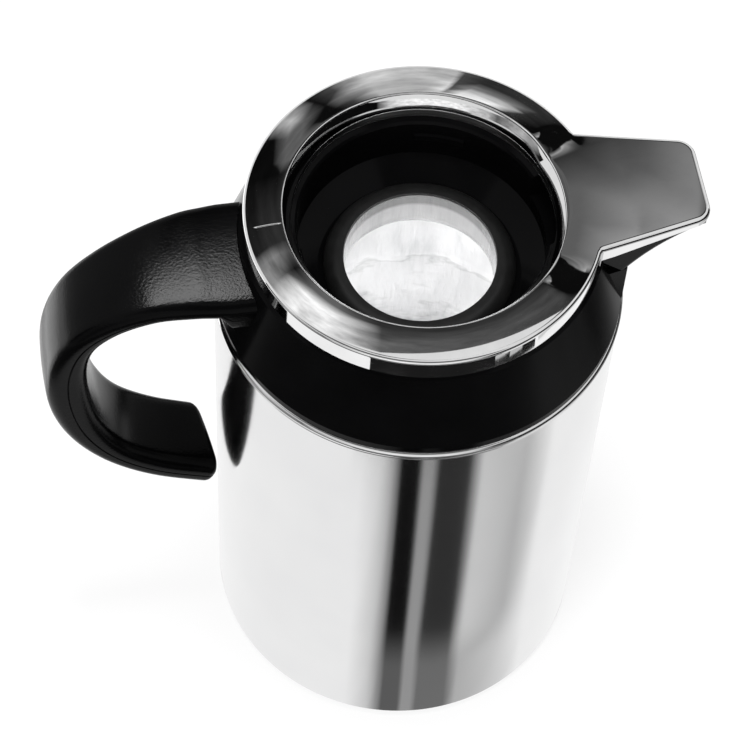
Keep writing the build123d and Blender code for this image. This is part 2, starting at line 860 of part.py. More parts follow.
root_station = handle_stations[0]
handle_block_knee = casing_radius - handle_block_knee_setback
root_top = rim + root_station[1] + root_station[4] / 2
root_bottom = rim + root_station[1] - root_station[4] / 2

with BuildPart() as handle_block:
    with BuildSketch(Plane.XZ):
        with BuildLine():
            Polyline(
                (-collar_inner, rim + handle_block_top),
                (-handle_block_reach, root_top),
                (-handle_block_reach, root_bottom),
                (-handle_block_knee, rim + handle_block_low),
                (-collar_inner, rim + handle_block_low),
                close=True,
            )
        make_face()
    extrude(amount=handle_block_half_width, both=True)
    with BuildSketch(Plane.XY.offset(rim)):
        with BuildLine():
            Polyline(
                (-collar_inner, -handle_block_half_width),
                (-handle_block_reach, -root_station[3] / 2),
                (-handle_block_reach, root_station[3] / 2),
                (-collar_inner, handle_block_half_width),
                close=True,
            )
        make_face()
    extrude(amount=2 * ring_bead_level, mode=Mode.INTERSECT)
    add(root_clearance, mode=Mode.SUBTRACT)

# slot for the stiffening strip, and the hollow of the grip
strip_run = handle_stations[strip_ends[0] : strip_ends[1] + 1]
hollow_run = handle_stations[handle_hollow_ends[0] : handle_hollow_ends[1] + 1]

with BuildPart() as handle_stiffener:
    for station in strip_run:
        add(plain_section(station, strip_width, strip_thickness))
    loft()

with BuildPart() as handle_hollow:
    for station in strip_run:
        add(
            plain_section(
                station, strip_width + 2 * seat_clearance, strip_thickness + 2 * seat_clearance
            )
        )
    loft()
    for station in hollow_run:
        add(
            plain_section(
                station,
                station[3] - 2 * handle_hollow_wall,
                station[4] - 2 * handle_hollow_wall,
            )
        )
    loft()

with BuildPart() as handle_outer_shell:
    for station in handle_stations:
        add(half_section(station, Align.MAX))
    loft()
    add(handle_block)
    add(handle_hollow, mode=Mode.SUBTRACT)
    with BuildSketch(Plane.YZ.offset(-handle_boss_face)):
        with handle_screw_places:
            Circle(screw_radius + screw_clearance)
    extrude(amount=-handle_screw_length, mode=Mode.SUBTRACT)

with BuildPart() as handle_inner_shell:
    for station in handle_stations:
        add(half_section(station, Align.MIN))
    loft()
    add(handle_hollow, mode=Mode.SUBTRACT)

with BuildPart() as handle_screws:
    with BuildSketch(Plane.YZ.offset(-handle_boss_face)):
        with handle_screw_places:
            Circle(screw_radius)
    extrude(amount=-handle_screw_length)
    with BuildSketch(Plane.YZ.offset(-handle_boss_face)):
        with handle_screw_places:
            Circle(screw_head_radius)
    extrude(amount=screw_head_height)

# ---------------------------------------------------------------- files
pieces = {
    "outer_casing": outer_casing,
    "rim_gasket": rim_gasket,
    "shoulder": shoulder,
    "funnel": funnel,
    "top_ring": top_ring,
    "ring_seal": ring_seal,
    "ring_screws": ring_screws,
    "neck_gasket": neck_gasket,
    "flask_inner_wall": flask_inner_wall,
    "flask_outer_wall": flask_outer_wall,
    "flask_spacers": flask_spacers,
    "centring_band": centring_band,
    "flask_cushion": flask_cushion,
    "base_ring": base_ring,
    "foot_ring": foot_ring,
    "base_cap": base_cap,
    "base_cap_seal": base_cap_seal,
    "handle_outer_shell": handle_outer_shell,
    "handle_inner_shell": handle_inner_shell,
    "handle_stiffener": handle_stiffener,
    "handle_screws": handle_screws,
}

for name, piece in pieces.items():
    piece.part.label = name
    export_step(piece.part, f"parts/{name}.step")
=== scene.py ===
import json
from math import atan2, cos, degrees, hypot, pi, radians, sin, sqrt

import bpy
from mathutils import Matrix, Vector


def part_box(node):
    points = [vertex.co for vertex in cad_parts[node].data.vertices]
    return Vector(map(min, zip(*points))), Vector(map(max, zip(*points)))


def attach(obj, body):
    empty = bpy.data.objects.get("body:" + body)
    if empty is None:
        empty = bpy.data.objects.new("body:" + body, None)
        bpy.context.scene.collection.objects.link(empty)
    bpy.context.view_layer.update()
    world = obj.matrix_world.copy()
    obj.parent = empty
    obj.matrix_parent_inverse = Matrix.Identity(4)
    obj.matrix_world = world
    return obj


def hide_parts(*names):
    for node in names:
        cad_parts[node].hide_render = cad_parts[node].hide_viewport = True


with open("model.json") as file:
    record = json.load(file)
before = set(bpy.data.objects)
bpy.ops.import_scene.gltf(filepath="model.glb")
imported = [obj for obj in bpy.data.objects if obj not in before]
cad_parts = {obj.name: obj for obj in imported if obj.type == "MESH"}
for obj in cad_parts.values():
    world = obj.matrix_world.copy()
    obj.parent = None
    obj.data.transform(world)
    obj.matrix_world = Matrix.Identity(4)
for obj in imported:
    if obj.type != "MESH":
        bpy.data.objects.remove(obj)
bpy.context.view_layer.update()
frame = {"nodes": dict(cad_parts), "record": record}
nodes = frame["nodes"]

# Lengths are written in millimetres and turned into metres where a vertex is made.
MM = 0.001


# ---------------------------------------------------------------- levels from the frame
def top_of(node):
    """Highest level of a CAD node in millimetres."""
    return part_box(node)[1].z / MM


def bottom_of(node):
    """Lowest level of a CAD node in millimetres."""
    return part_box(node)[0].z / MM


RIM = top_of("outer_casing")
FOOT = bottom_of("outer_casing")
LEDGE = bottom_of("top_ring")
COVER_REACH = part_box("top_ring")[1].x / MM
RING_RADIUS = -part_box("top_ring")[0].x / MM


def new_object(name, data):
    """An object in the scene with the data given."""
    item = bpy.data.objects.new(name, data)
    bpy.context.scene.collection.objects.link(item)
    return item


# ---------------------------------------------------------------- camera
# The camera's place, its aim in degrees and its lens, worked out from the ellipses of the rim,
# the ring and the flask's mouth
CAMERA_PLACE = (-122.8, -492.3, 945.3)
CAMERA_YAW = 12.69
CAMERA_PITCH = 58.19
CAMERA_ROLL = 3.93
CAMERA_LENS = 137.39
SENSOR = 36.0
FURTHEST_SEEN = 20000.0


def make_camera():
    """A camera that looks down on the jug as the photographer did."""
    data = bpy.data.cameras.new("camera")
    data.lens = CAMERA_LENS
    data.sensor_width = SENSOR
    data.clip_end = FURTHEST_SEEN * MM
    camera = new_object("camera", data)
    yaw, pitch, roll = radians(CAMERA_YAW), radians(CAMERA_PITCH), radians(CAMERA_ROLL)
    ahead = Vector((sin(yaw) * cos(pitch), cos(yaw) * cos(pitch), -sin(pitch)))
    level = ahead.cross(Vector((0, 0, 1))).normalized()
    upward = level.cross(ahead)
    right = cos(roll) * level + sin(roll) * upward
    up = -sin(roll) * level + cos(roll) * upward
    turn = Matrix((right, up, -ahead)).transposed()
    camera.matrix_world = Matrix.Translation(Vector(CAMERA_PLACE) * MM) @ turn.to_4x4()
    bpy.context.scene.camera = camera


# ---------------------------------------------------------------- mesh helpers
def new_piece(name, points, faces, sharp_angle=30.0):
    """A mesh object from points in millimetres."""
    mesh = bpy.data.meshes.new(name)
    mesh.from_pydata([Vector(p) * MM for p in points], [], faces)
    mesh.update()
    for polygon in mesh.polygons:
        polygon.use_smooth = True
    mesh.set_sharp_from_angle(angle=radians(sharp_angle))
    return new_object(name, mesh)


def tube_faces(rows, columns, wrap_rows, wrap_columns):
    """Quads between neighbouring rows of a grid of points."""
    faces = []
    for i in range(rows if wrap_rows else rows - 1):
        for j in range(columns if wrap_columns else columns - 1):
            a = i * columns + j
            b = i * columns + (j + 1) % columns
            c = ((i + 1) % rows) * columns + (j + 1) % columns
            d = ((i + 1) % rows) * columns + j
            faces.append((a, b, c, d))
    return faces


def arc(centre, radius, start, end, count):
    """Points of an arc in a half plane, from one angle in degrees to another."""
    step = (end - start) / count
    turns = [radians(start + step * i) for i in range(count + 1)]
    return [(centre[0] + radius * cos(t), centre[1] + radius * sin(t)) for t in turns]


def dense(points, spacing):
    """The same outline with points added on its long straight runs."""
    out = []
    for (x0, z0), (x1, z1) in zip(points, points[1:] + points[:1]):
        count = max(1, int(hypot(x1 - x0, z1 - z0) / spacing))
        out += [(x0 + (x1 - x0) * i / count, z0 + (z1 - z0) * i / count) for i in range(count)]
    return out


def lathe(name, outline, columns):
    """A closed outline of (radius, height) turned about the jug's axis."""
    points = []
    for radius, height in outline:
        for j in range(columns):
            turn = 2 * pi * j / columns
            points.append((radius * cos(turn), radius * sin(turn), height))
    return new_piece(name, points, tube_faces(len(outline), columns, True, True))


def finish_piece(piece, material, slot, *replaced, body="root"):
    """Gives a piece its material and ties it to the frame."""
    piece.data.materials.clear()
    piece.data.materials.append(material)
    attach(piece, body)
    if replaced:
        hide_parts(*replaced)


# ---------------------------------------------------------------- materials
def new_material(name):
    """A material with its node tree, its shader and a position texture coordinate."""
    material = bpy.data.materials.new(name)
    material.use_nodes = True
    tree = material.node_tree
    shader = tree.nodes["Principled BSDF"]
    place = tree.nodes.new("ShaderNodeTexCoord").outputs["Object"]
    return material, tree, shader, place


def put(node, values):
    """Sets inputs of a node by their names."""
    for name, value in values.items():
        node.inputs[name].default_value = value


def stretched(tree, place, scale):
    """The texture coordinate scaled by its own factor on each axis."""
    mapping = tree.nodes.new("ShaderNodeMapping")
    put(mapping, {"Scale": scale})
    tree.links.new(place, mapping.inputs["Vector"])
    return mapping.outputs["Vector"]


def computed(tree, operation, first, second):
    """Two values put together by a math node."""
    node = tree.nodes.new("ShaderNodeMath")
    node.operation = operation
    tree.links.new(first, node.inputs[0])
    tree.links.new(second, node.inputs[1])
    return node.outputs[0]


def cylindrical(tree, place):
    """Angle round the jug's axis in radians and height in metres, as one vector."""
    separate = tree.nodes.new("ShaderNodeSeparateXYZ")
    tree.links.new(place, separate.inputs[0])
    angle = computed(tree, "ARCTAN2", separate.outputs["Y"], separate.outputs["X"])
    joined = tree.nodes.new("ShaderNodeCombineXYZ")
    tree.links.new(angle, joined.inputs["X"])
    tree.links.new(separate.outputs["Z"], joined.inputs["Z"])
    return joined.outputs[0]


def noise(tree, vector, scale, detail=3.0, roughness=0.5):
    """A noise texture's value."""
    texture = tree.nodes.new("ShaderNodeTexNoise")
    put(texture, {"Scale": scale, "Detail": detail, "Roughness": roughness})
    tree.links.new(vector, texture.inputs["Vector"])
    return texture.outputs["Fac"]


def spread(tree, value, low, high, start=0.0, end=1.0):
    """A value mapped from one range to another."""
    mapped = tree.nodes.new("ShaderNodeMapRange")
    put(mapped, {"From Min": start, "From Max": end, "To Min": low, "To Max": high})
    tree.links.new(value, mapped.inputs["Value"])
    return mapped.outputs["Result"]


def ramp(tree, value, stops):
    """A colour ramp with (place, colour) stops."""
    node = tree.nodes.new("ShaderNodeValToRGB")
    elements = node.color_ramp.elements
    while len(elements) < len(stops):
        elements.new(0.5)
    for element, (place, colour) in zip(elements, stops):
        element.position = place
        element.color = (*colour, 1.0)
    tree.links.new(value, node.inputs["Fac"])
    return node.outputs["Color"]


def greys(tree, value, stops):
    """A colour ramp with (place, grey) stops."""
    return ramp(tree, value, [(place, (grey, grey, grey)) for place, grey in stops])


def bump(tree, shader, value, strength, distance, below=None):
    """Raises the surface by a value, on top of another bump if one is given."""
    node = tree.nodes.new("ShaderNodeBump")
    put(node, {"Strength": strength, "Distance": distance * MM})
    tree.links.new(value, node.inputs["Height"])
    if below:
        tree.links.new(below, node.inputs["Normal"])
    tree.links.new(node.outputs["Normal"], shader.inputs["Normal"])
    return node.outputs["Normal"]


def steel_material():
    """Polished steel with fine upright brushing and faint cloudiness."""
    material, tree, shader, place = new_material("casing_steel")
    put(shader, {"Metallic": 1.0, "Anisotropic": 0.55, "Anisotropic Rotation": 0.25})
    around = cylindrical(tree, place)
    lines = noise(tree, stretched(tree, around, (1.0, 1.0, 0.6)), 420.0, 4.0, 0.6)
    clouds = noise(tree, place, 28.0, 3.0)
    colour = ramp(tree, clouds, [(0.3, (0.775, 0.775, 0.78)), (0.7, (0.80, 0.80, 0.80))])
    tree.links.new(colour, shader.inputs["Base Color"])
    tree.links.new(spread(tree, lines, 0.09, 0.15, 0.3, 0.7), shader.inputs["Roughness"])
    bump(tree, shader, lines, 0.03, 0.01)
    tangent = tree.nodes.new("ShaderNodeTangent")
    tangent.direction_type = "RADIAL"
    tangent.axis = "Z"
    tree.links.new(tangent.outputs["Tangent"], shader.inputs["Tangent"])
    return material


def chrome_material():
    """Plated plastic: a mirror with faint smears and moulding waviness."""
    material, tree, shader, place = new_material("chrome")
    put(shader, {"Metallic": 1.0})
    smears = noise(tree, stretched(tree, place, (1.0, 1.4, 1.0)), 70.0, 5.0, 0.6)
    colour = ramp(tree, smears, [(0.25, (0.80, 0.80, 0.805)), (0.6, (0.88, 0.88, 0.88))])
    tree.links.new(colour, shader.inputs["Base Color"])
    tree.links.new(spread(tree, smears, 0.015, 0.06, 0.35, 0.75), shader.inputs["Roughness"])
    waves = noise(tree, place, 22.0, 1.0)
    bump(tree, shader, waves, 0.12, 0.5)
    return material


def plastic_material(name, base, low, high, grain, grain_depth):
    """Black moulded plastic: fine grain, faint colour change and uneven gloss."""
    material, tree, shader, place = new_material(name)
    clouds = noise(tree, place, 45.0, 4.0)
    dark = tuple(0.8 * c for c in base)
    light = tuple(1.3 * c for c in base)
    tree.links.new(ramp(tree, clouds, [(0.3, dark), (0.7, light)]), shader.inputs["Base Color"])
    tree.links.new(spread(tree, clouds, low, high, 0.3, 0.7), shader.inputs["Roughness"])
    put(shader, {"Specular IOR Level": 0.05})
    bump(tree, shader, noise(tree, place, grain, 2.0), 0.25, grain_depth)
    return material


def blended(tree, first, second):
    """Two colours multiplied."""
    node = tree.nodes.new("ShaderNodeMix")
    node.data_type = "RGBA"
    node.blend_type = "MULTIPLY"
    put(node, {"Factor": 1.0})
    colours = [socket for socket in node.inputs if socket.type == "RGBA"]
    tree.links.new(first, colours[0])
    tree.links.new(second, colours[1])
    return [socket for socket in node.outputs if socket.type == "RGBA"][0]


# Levels above the rim: grey lip, painted shadow ring and highlight, painted dark reflections
FLASK_LIP = (-14.0, 11.0)
FLASK_SHADE_RING = (-74.0, -59.0)
FLASK_DARK_REFLECTIONS = (-110.0, -78.0)
# Colours painted on the glass, as stops of: share of the noise or of the stretch of height, colour
# painted reflection streaks
PAINTED_REFLECTION_STREAKS = ((0.32, (0.80, 0.805, 0.81)), (0.46, (0.94, 0.94, 0.945)), (0.66, (1, 1, 1)))
# painted dark reflections low down
PAINTED_DARK_REFLECTIONS = ((0.30, (0.40, 0.405, 0.41)), (0.40, (0.80, 0.80, 0.80)), (0.52, (1, 1, 1)))
# Its greys, likewise: a painted shadow ring with a painted highlight above it, then the grey lip
SHADE_RING_GREYS = ((0.3, 0.92), (0.42, 0.75), (0.56, 1.0), (0.8, 0.94))
LIP_BAND = ((0.1, 1.0), (0.45, 0.42), (0.8, 0.42), (0.86, 0.22))


def mirror_glass_material():
    """Silvered glass from its clear side: drawn waves, painted reflections and shade ring, gloss.
    """
    material, tree, shader, place = new_material("silvered_glass")
    put(shader, {"Metallic": 0.35, "Roughness": 0.08})
    put(shader, {"Coat Weight": 0.6, "Coat Roughness": 0.03})
    separate = tree.nodes.new("ShaderNodeSeparateXYZ")
    tree.links.new(place, separate.inputs[0])
    level = separate.outputs["Z"]

    def share(low, high, start, end):
        return spread(tree, level, start, end, (RIM + low) * MM, (RIM + high) * MM)

    around = cylindrical(tree, place)
    # One noise gives the drawn waves' bump and the painted reflection streaks in the colour
    draw_waves_and_reflection_streaks = noise(tree, stretched(tree, around, (1.0, 1.0, 4.0)), 7.0, 4.0, 0.6)
    painted_reflections = ramp(tree, draw_waves_and_reflection_streaks, PAINTED_REFLECTION_STREAKS)
    swirls = noise(tree, stretched(tree, place, (1.0, 1.0, 1.8)), 55.0, 3.0, 0.65)
    # painted dark reflections: the glass's colour darkened in patches towards the bottom
    clouds = computed(tree, "ADD", swirls, share(*FLASK_DARK_REFLECTIONS, -0.14, 0.16))
    painted_low_reflections = ramp(tree, clouds, PAINTED_DARK_REFLECTIONS)
    wander = spread(tree, swirls, -0.35, 0.35, 0.3, 0.7)
    # a wavering ring of painted shade with a painted highlight above it
    wavy = computed(tree, "ADD", share(*FLASK_SHADE_RING, 0.0, 1.0), wander)
    painted_ring_shade = greys(tree, wavy, SHADE_RING_GREYS)
    lip = greys(tree, share(*FLASK_LIP, 0.0, 1.0), LIP_BAND)
    colour = blended(tree, blended(tree, painted_reflections, painted_low_reflections), blended(tree, painted_ring_shade, lip))
    tree.links.new(colour, shader.inputs["Base Color"])
    below = bump(tree, shader, draw_waves_and_reflection_streaks, 0.5, 1.0)
    bump(tree, shader, swirls, 0.4, 0.6, below)
    return material


def soft_material(name, base, rough):
    """Rubber or foam: matt, with a fine skin."""
    material, tree, shader, place = new_material(name)
    skin = noise(tree, place, 260.0, 4.0, 0.6)
    dark = tuple(0.75 * c for c in base)
    light = tuple(1.25 * c for c in base)
    tree.links.new(ramp(tree, skin, [(0.3, dark), (0.7, light)]), shader.inputs["Base Color"])
    tree.links.new(spread(tree, skin, rough - 0.08, rough + 0.08), shader.inputs["Roughness"])
    bump(tree, shader, skin, 0.4, 0.05)
    return material


def screw_material():
    """Zinc plated steel with a faint grain."""
    material, tree, shader, place = new_material("screw_steel")
    put(shader, {"Metallic": 1.0})
    grain = noise(tree, place, 900.0, 3.0)
    colour = ramp(tree, grain, [(0.3, (0.45, 0.45, 0.47)), (0.7, (0.65, 0.65, 0.66))])
    tree.links.new(colour, shader.inputs["Base Color"])
    tree.links.new(spread(tree, grain, 0.25, 0.4), shader.inputs["Roughness"])
    bump(tree, shader, grain, 0.2, 0.02)
    return material


MATERIALS = {
    "casing_steel": steel_material(),
    "chrome": chrome_material(),
    "black_plastic": plastic_material(
        "black_plastic", (0.0014, 0.0014, 0.0015), 0.10, 0.17, 1400.0, 0.01
    ),
    "handle_plastic": plastic_material(
        "handle_plastic", (0.0010, 0.0010, 0.0011), 0.14, 0.20, 1300.0, 0.22
    ),
    "silvered_glass": mirror_glass_material(),
    "silicone": soft_material("silicone", (0.006, 0.006, 0.006), 0.4),
    "foam_rubber": soft_material("foam_rubber", (0.08, 0.08, 0.08), 0.8),
    "screw_steel": screw_material(),
}


def dress_nodes():
    """Gives each CAD node the material of its slot."""
    for entry in frame["record"]["subparts"]:
        node = nodes[entry["node"]]
        node.data.materials.clear()
        node.data.materials.append(MATERIALS[entry["material_slot"]])


# ---------------------------------------------------------------- casing
CASING_RADIUS = 65.0
CASING_EDGE = 2.0
CASING_WALL = 0.7
CASING_TURN_IN = 8.0
# The bead at the rim: its height, the flat land on top and how far that stands in, the roll's
# radius, its centre's distance in and its first and last angle, and two small steps that join
# the roll to the casing's side and to the land
BEAD_HEIGHT = 3.2
BEAD_LAND = 1.4
BEAD_SETBACK = 0.7
BEAD_RADIUS = 1.65
BEAD_INSET = 1.2
BEAD_TURNS = (-55, 62)
BEAD_STEP = (0.1, 0.15)
BEAD_TOP = (0.5, 0.02)
# Points round the casing, and the longest step between its rows
CASING_COLUMNS = 320
CASING_SPACING = 6.0
# Steps round the foot's outside, round the bead and round the foot's inside
CASING_ARCS = (8, 10, 6)


def make_casing():
    """The steel casing with its rolled bead at the rim and its turned-in foot."""
    outer = CASING_RADIUS
    bore = outer - CASING_WALL
    land = outer - BEAD_SETBACK
    foot_edge = outer - CASING_EDGE
    bead_low = RIM - BEAD_HEIGHT
    foot_steps, bead_steps, inner_steps = CASING_ARCS
    outline = [(outer - CASING_TURN_IN, FOOT)]
    outline += arc((foot_edge, FOOT + CASING_EDGE), CASING_EDGE, -90, 0, foot_steps)
    outline += [(outer, bead_low - BEAD_STEP[1]), (outer + BEAD_STEP[0], bead_low)]
    outline += arc((outer - BEAD_INSET, RIM - BEAD_RADIUS), BEAD_RADIUS, *BEAD_TURNS, bead_steps)
    outline += [(land - BEAD_TOP[0], RIM - BEAD_TOP[1]), (land - BEAD_LAND, RIM)]
    outline += [(land - BEAD_LAND, bead_low), (bore, bead_low - CASING_WALL)]
    outline += arc((foot_edge, FOOT + CASING_EDGE), CASING_EDGE - CASING_WALL, 0, -90, inner_steps)
    outline += [(outer - CASING_TURN_IN, FOOT + CASING_WALL)]
    piece = lathe("casing_skin", dense(outline, CASING_SPACING), CASING_COLUMNS)
    finish_piece(piece, MATERIALS["casing_steel"], "casing_steel", "outer_casing")


# ---------------------------------------------------------------- top ring and spout cover
# The ring: radius of its lip, width and depth of the bevel inside it, wall, rounded outer edge
RING_LIP = 43.6
RING_BEVEL = (2.6, 4.4)
RING_WALL = 1.5
RING_EDGE = 1.2
# Levels above the rim of the ring's edge and of its crown, and how the crown falls outwards
RING_LEVEL = 37.9
CROWN_LEVEL = 39.3
CROWN_FALL = 1.25
CROWN_POWER = 1.9
# Level of the spout cover's flat at the lip, and how far from the axis it reaches RING_LEVEL
COVER_LEVEL = 38.2
COVER_FALL_END = 66.0
# Where the flat passes into the crown, as angles from the spout's axis
FAR_BLEND = (17.0, 31.0)
NEAR_BLEND = (29.0, 46.0)
INNER_EDGE = 0.5
BORE_LENGTH = 2.2
BEVEL_BULGE = 0.15
# The spout cover's plan: where its sides start, its half widths there and at the tip, and the
# radii of its corners and of the hollow corners at the ring
SPOUT_ROOT_X = 52.0
SPOUT_ROOT_HALF = 22.4
SPOUT_TIP_HALF = 14.8
SPOUT_CORNER = 6.0
SPOUT_ROOT_FILLET = 2.0
# The skirt's depth below SKIRT_LEVEL at the root, at the tip and across the tip's end, and the
# stretch before the end over which the last two meet
SKIRT_LEVEL = 38.0
SKIRT_ROOT = 5.8
SKIRT_TIP = 2.7
SKIRT_END = 2.6
SKIRT_END_SPAN = (1.2, 0.1)
COVER_EDGE = 1.5
# The fine mark across the ring above the handle
MARK_HALF_WIDTH = 0.22
MARK_DEPTH = 0.12
MARK_SPAN = (44.7, 52.7)
MARK_RAMP = 0.5
# Points along the tip, its corner, the spout's side, the hollow corner, the ring and the mark
OUTLINE_STEPS = (8, 10, 24, 8, 150, 6)
# Rows up the skirt, across the top, down the lip and down the bevel. Rows close to a crease keep
# the shading of the face beside it even.
SKIRT_ROWS = (0.0, 0.04, 0.5, 0.96, 1.0)
BEVEL_ROWS = (0.04, 0.25, 0.5, 0.75, 0.96, 1.0)
TOP_ROWS = 22
EDGE_ROWS = 7
LIP_ROWS = 6
CLOSE_TO_EDGE = 0.1
CLOSE_TO_BEVEL = 0.08
ROOF_CHAMFER = 0.3
RING_SHARP_ANGLE = 38.0


def smooth_step(value, start, end):
    """0 before start, 1 after end, and a smooth curve between."""
    share = min(1.0, max(0.0, (value - start) / (end - start)))
    return share * share * (3 - 2 * share)


def cover_outline():
    """Half the plan of ring and spout cover, from the tip's middle to the handle side.

    Each entry is a point, its outward normal and the kind of edge that it lies on."""
    side = Vector((COVER_REACH - SPOUT_ROOT_X, SPOUT_TIP_HALF - SPOUT_ROOT_HALF)).normalized()
    out = Vector((-side.y, side.x))
    offset = out.dot(Vector((SPOUT_ROOT_X, SPOUT_ROOT_HALF)))
    # rounded corner at the tip
    corner_x = COVER_REACH - SPOUT_CORNER
    corner = Vector((corner_x, (offset - SPOUT_CORNER - out.x * corner_x) / out.y))
    side_turn = degrees(atan2(out.y, out.x))
    # hollow corner between spout and ring
    fillet = SPOUT_ROOT_FILLET
    along = sqrt((RING_RADIUS + fillet) ** 2 - (offset + fillet) ** 2)
    hollow = out * (offset + fillet) + side * along
    on_line = hollow - out * fillet
    on_ring = hollow * (RING_RADIUS / (RING_RADIUS + fillet))
    tip, round_tip, straight, round_root, ring, mark = OUTLINE_STEPS
    entries = []
    for i in range(tip):
        entries.append((Vector((COVER_REACH, corner.y * i / tip)), Vector((1, 0)), "tip"))
    for i in range(round_tip + 1):
        turn = radians(side_turn * i / round_tip)
        normal = Vector((cos(turn), sin(turn)))
        entries.append((corner + normal * SPOUT_CORNER, normal, "tip"))
    line_start = corner + out * SPOUT_CORNER
    for i in range(1, straight):
        entries.append((line_start.lerp(on_line, i / straight), out, "side"))
    start_turn = atan2(-out.y, -out.x)
    end_turn = atan2(-hollow.y, -hollow.x)
    for i in range(round_root + 1):
        turn = start_turn + (end_turn - start_turn) * i / round_root
        normal = -Vector((cos(turn), sin(turn)))
        kind = "side" if i < round_root / 2 else "ring"
        entries.append((hollow - normal * fillet, normal, kind))
    mark_turn = pi - 3 * MARK_HALF_WIDTH / RING_RADIUS
    stretches = ((atan2(on_ring.y, on_ring.x), mark_turn, ring), (mark_turn, pi, mark))
    for first, last, steps in stretches:
        for i in range(1, steps + 1):
            turn = first + (last - first) * i / steps
            normal = Vector((cos(turn), sin(turn)))
            entries.append((normal * RING_RADIUS, normal, "ring"))
    return entries


def mirrored(entries):
    """The whole outline from its upper half, which starts and ends on the X axis."""
    lower = [(Vector((p.x, -p.y)), Vector((n.x, -n.y)), kind) for p, n, kind in entries[1:-1]]
    return entries + lower[::-1]


def crown_height(reach):
    """The ring's crowned top as a height above the rim, by distance from the axis."""
    inner, outer = RING_LIP + INNER_EDGE, RING_RADIUS - RING_EDGE
    share = (reach - inner) / (outer - inner)
    return CROWN_LEVEL - CROWN_FALL * abs(share) ** CROWN_POWER


def cover_height(x, y):
    """Height above the rim of the top face: crowned ring that flattens towards the spout."""
    reach = hypot(x, y)
    turn = degrees(atan2(y, x))
    start, end = FAR_BLEND if turn > 0 else NEAR_BLEND
    fall = min(1.0, max(0.0, (reach - RING_LIP) / (COVER_FALL_END - RING_LIP)))
    flat = COVER_LEVEL + (RING_LEVEL - COVER_LEVEL) * fall
    level = crown_height(min(reach, RING_RADIUS - RING_EDGE))
    height = level + (flat - level) * (1 - smooth_step(abs(turn), start, end))
    if x < 0:
        inside = smooth_step(reach, MARK_SPAN[0], MARK_SPAN[0] + MARK_RAMP)
        inside *= 1 - smooth_step(reach, MARK_SPAN[1] - MARK_RAMP, MARK_SPAN[1])
        height -= MARK_DEPTH * inside * (1 - smooth_step(abs(y), 0.0, MARK_HALF_WIDTH))
    return height


def skirt_bottom(point, kind):
    """Level of the skirt's lower edge."""
    if kind == "ring":
        return LEDGE
    share = (point.x - RING_RADIUS) / (COVER_REACH - RING_RADIUS)
    drop = SKIRT_ROOT + (SKIRT_TIP - SKIRT_ROOT) * max(0.0, share)
    start, end = SKIRT_END_SPAN
    ended = smooth_step(point.x, COVER_REACH - start, COVER_REACH - end)
    return RIM + SKIRT_LEVEL - drop * (1 - ended) - SKIRT_END * ended


def lip_profile(lip):
    """Radius and level of the rounded lip, the hollow bevel, the bore and the wall behind them."""
    width, depth = RING_BEVEL
    bevel_low = RIM + CROWN_LEVEL - INNER_EDGE - depth
    profile = []
    for i in range(1, LIP_ROWS + 1):
        turn = pi / 2 * i / LIP_ROWS
        profile.append((RING_LIP + INNER_EDGE * (1 - sin(turn)), lip + INNER_EDGE * cos(turn)))
    for share in BEVEL_ROWS:
        bulge = BEVEL_BULGE * sin(pi * share)
        level = lip + (bevel_low - lip) * share + bulge * width / depth
        profile.append((RING_LIP - width * share - bulge, level))
    bore = RING_LIP - width
    bore_low = bevel_low - BORE_LENGTH
    for level in (bevel_low - CLOSE_TO_BEVEL, (bevel_low + bore_low) / 2, bore_low):
        profile.append((bore, level))
    profile += [(bore + RING_WALL, bore_low), (bore + RING_WALL, bevel_low)]
    profile.append((RING_LIP + RING_WALL, RIM + RING_LEVEL - RING_WALL))
    return profile


def ring_section(point, normal, kind):
    """The closed section of ring or cover at one place of the outline, from the skirt inwards."""
    edge = RING_EDGE if kind == "ring" else COVER_EDGE
    back = point - normal * RING_WALL
    seat = point - normal * edge
    brow = RIM + cover_height(seat.x, seat.y)
    low = skirt_bottom(point, kind)
    section = [(back.x, back.y, low)]
    for share in SKIRT_ROWS:
        section.append((point.x, point.y, low + (brow - edge - low) * share))
    for i in range(1, EDGE_ROWS + 1):
        turn = pi / 2 * i / EDGE_ROWS
        place = seat + normal * edge * cos(turn)
        section.append((place.x, place.y, brow - edge + edge * sin(turn)))
    angle = atan2(seat.y, seat.x)
    ray = Vector((cos(angle), sin(angle)))
    inner = ray * (RING_LIP + INNER_EDGE)
    close = CLOSE_TO_EDGE / (inner - seat).length
    for share in [close, 2 * close] + [i / TOP_ROWS for i in range(1, TOP_ROWS + 1)]:
        place = seat.lerp(inner, share)
        section.append((place.x, place.y, RIM + cover_height(place.x, place.y)))
    lip = RIM + cover_height(inner.x, inner.y) - INNER_EDGE
    section += [(ray.x * radius, ray.y * radius, level) for radius, level in lip_profile(lip)]
    roof = RIM + RING_LEVEL - RING_WALL
    roof_edge = point - normal * (RING_WALL + ROOF_CHAMFER)
    section.append((roof_edge.x, roof_edge.y, roof))
    section.append((back.x, back.y, roof - ROOF_CHAMFER))
    return section


def make_top_ring():
    """Ring and spout cover as one plated shell: skirt, rounded edge, crown, bevel and bore."""
    sections = [ring_section(*entry) for entry in mirrored(cover_outline())]
    points = [point for row in zip(*sections) for point in row]
    faces = tube_faces(len(sections[0]), len(sections), True, True)
    piece = new_piece("ring_and_spout_skin", points, faces, RING_SHARP_ANGLE)
    finish_piece(piece, MATERIALS["chrome"], "chrome", "top_ring")


